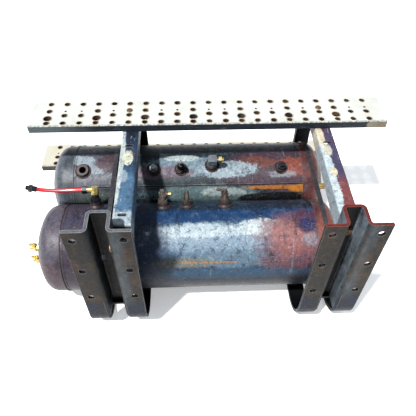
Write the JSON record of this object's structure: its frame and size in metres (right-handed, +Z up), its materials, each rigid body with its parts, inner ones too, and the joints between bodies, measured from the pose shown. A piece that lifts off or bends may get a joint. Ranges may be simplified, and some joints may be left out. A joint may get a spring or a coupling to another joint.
{
  "type": "twin air reservoir and step assembly",
  "caption": "Twin horizontal air tanks on hat-section frame hangers, with hold-down straps, channel arms, pierced step planks, ports, drain cocks and a hose tail.",
  "frame": {"origin": "on the frame-rail face, at the centre of the left hanger's four corner bolt holes", "axes": "+X along the tanks to the right seen from the rail, +Y outboard from the rail face, +Z up"},
  "size_m": [1.0644, 0.696, 0.45],
  "materials": {
    "tank_paint": "worn dark blue over grey primer, chalky patches",
    "head_paint": "worn mauve-grey paint",
    "left_hanger_steel": "dark brown-black, worn to bright steel at the edges",
    "right_hanger_steel": "dark brown-black with red oxide edges",
    "left_arm_paint": "blue, scuffed, peeled pale along one edge",
    "right_arm_paint": "red-purple over blue with a wide pale peeled area",
    "dark_bracket": "black, weathered",
    "upper_tread": "chalky cream, dirty round the holes",
    "lower_tread": "chalky cream with ochre dirt",
    "strap_steel": "dull galvanised",
    "liner_rubber": "matte black",
    "fitting_steel": "tarnished, partly painted",
    "brass": "aged brass",
    "hose_red": "semi-gloss red nylon",
    "bolt_steel": "zinc with rust bloom"
  },
  "bodies": {
    "frame": {"arm_bolts": "bolt_steel", "check_valve_body": "fitting_steel", "check_valve_side_cap": "brass", "front_drain_body": "fitting_steel", "front_line_fitting": "fitting_steel", "front_tank_bungs": "tank_paint", "front_tank_left_head": "head_paint", "front_tank_right_head": "head_paint", "front_tank_saddles": "liner_rubber", "front_tank_shell": "tank_paint", "hanger_liners": "liner_rubber", "hose_adapter": "fitting_steel", "left_arm": "left_arm_paint", "left_arm_bracket": "dark_bracket", "left_cross_tie": "dark_bracket", "left_hanger": "left_hanger_steel", "left_hold_down_strap": "strap_steel", "left_step_bracket": "dark_bracket", "left_stringer": "dark_bracket", "lower_drain_cock_body": "brass", "lower_plank_bolts": "bolt_steel", "lower_step_plank": "lower_tread", "plank_spacers": "bolt_steel", "rear_adapter_plug": "fitting_steel", "rear_drain_body": "fitting_steel", "rear_elbow": "fitting_steel", "rear_elbow_nut": "brass", "rear_square_plug": "fitting_steel", "rear_tank_bungs": "tank_paint", "rear_tank_left_head": "head_paint", "rear_tank_right_head": "head_paint", "rear_tank_saddles": "liner_rubber", "rear_tank_shell": "tank_paint", "rear_tank_side_plug": "brass", "right_arm": "right_arm_paint", "right_cross_tie": "dark_bracket", "right_hanger": "right_hanger_steel", "right_hold_down_strap": "strap_steel", "right_step_bracket": "dark_bracket", "right_stringer": "dark_bracket", "safety_valve_body": "fitting_steel", "strap_anchors": "dark_bracket", "strap_nuts": "bolt_steel", "tall_adapter": "fitting_steel", "tank_head_bosses": "head_paint", "upper_drain_cock_body": "brass", "upper_plank_bolts": "bolt_steel", "upper_step_plank": "upper_tread"},
    "hose_line": {"hose_elbow": "brass", "hose_nut": "fitting_steel", "red_hose": "hose_red", "hose_end_coupling": "fitting_steel"},
    "upper_key": {"upper_drain_cock_key": "brass"},
    "lower_key": {"lower_drain_cock_key": "brass"},
    "relief_stem": {"safety_valve_stem": "fitting_steel", "safety_valve_pull_ring": "fitting_steel"},
    "check_poppet": {"check_valve_poppet": "fitting_steel"},
    "front_drain": {"front_drain_stem": "fitting_steel"},
    "rear_drain": {"rear_drain_stem": "fitting_steel"}
  },
  "joints": [
    {"name": "hose_swivel", "type": "hinge", "parent": "frame", "child": "hose_line", "pos_m": [-0.061, 0.25532, -0.0423], "axis": [0, 0.515, 0.8572], "range_deg": [-20, 20]},
    {"name": "upper_drain_cock_turn", "type": "hinge", "parent": "frame", "child": "upper_key", "pos_m": [-0.246, 0.196, -0.165], "axis": [0, 0, 1], "range_deg": [0, 90]},
    {"name": "lower_drain_cock_turn", "type": "hinge", "parent": "frame", "child": "lower_key", "pos_m": [-0.246, 0.18, -0.202], "axis": [0, 0, 1], "range_deg": [0, 90]},
    {"name": "safety_valve_lift", "type": "slide", "parent": "frame", "child": "relief_stem", "axis": [0, -0.4226, 0.9063], "range_m": [0, 0.003]},
    {"name": "check_valve_lift", "type": "slide", "parent": "frame", "child": "check_poppet", "axis": [0, 0.4226, 0.9063], "range_m": [0, 0.003]},
    {"name": "front_drain_push", "type": "slide", "parent": "frame", "child": "front_drain", "axis": [0, 0, 1], "range_m": [0, 0.002]},
    {"name": "rear_drain_push", "type": "slide", "parent": "frame", "child": "rear_drain", "axis": [0, 0, 1], "range_m": [0, 0.002]}
  ]
}
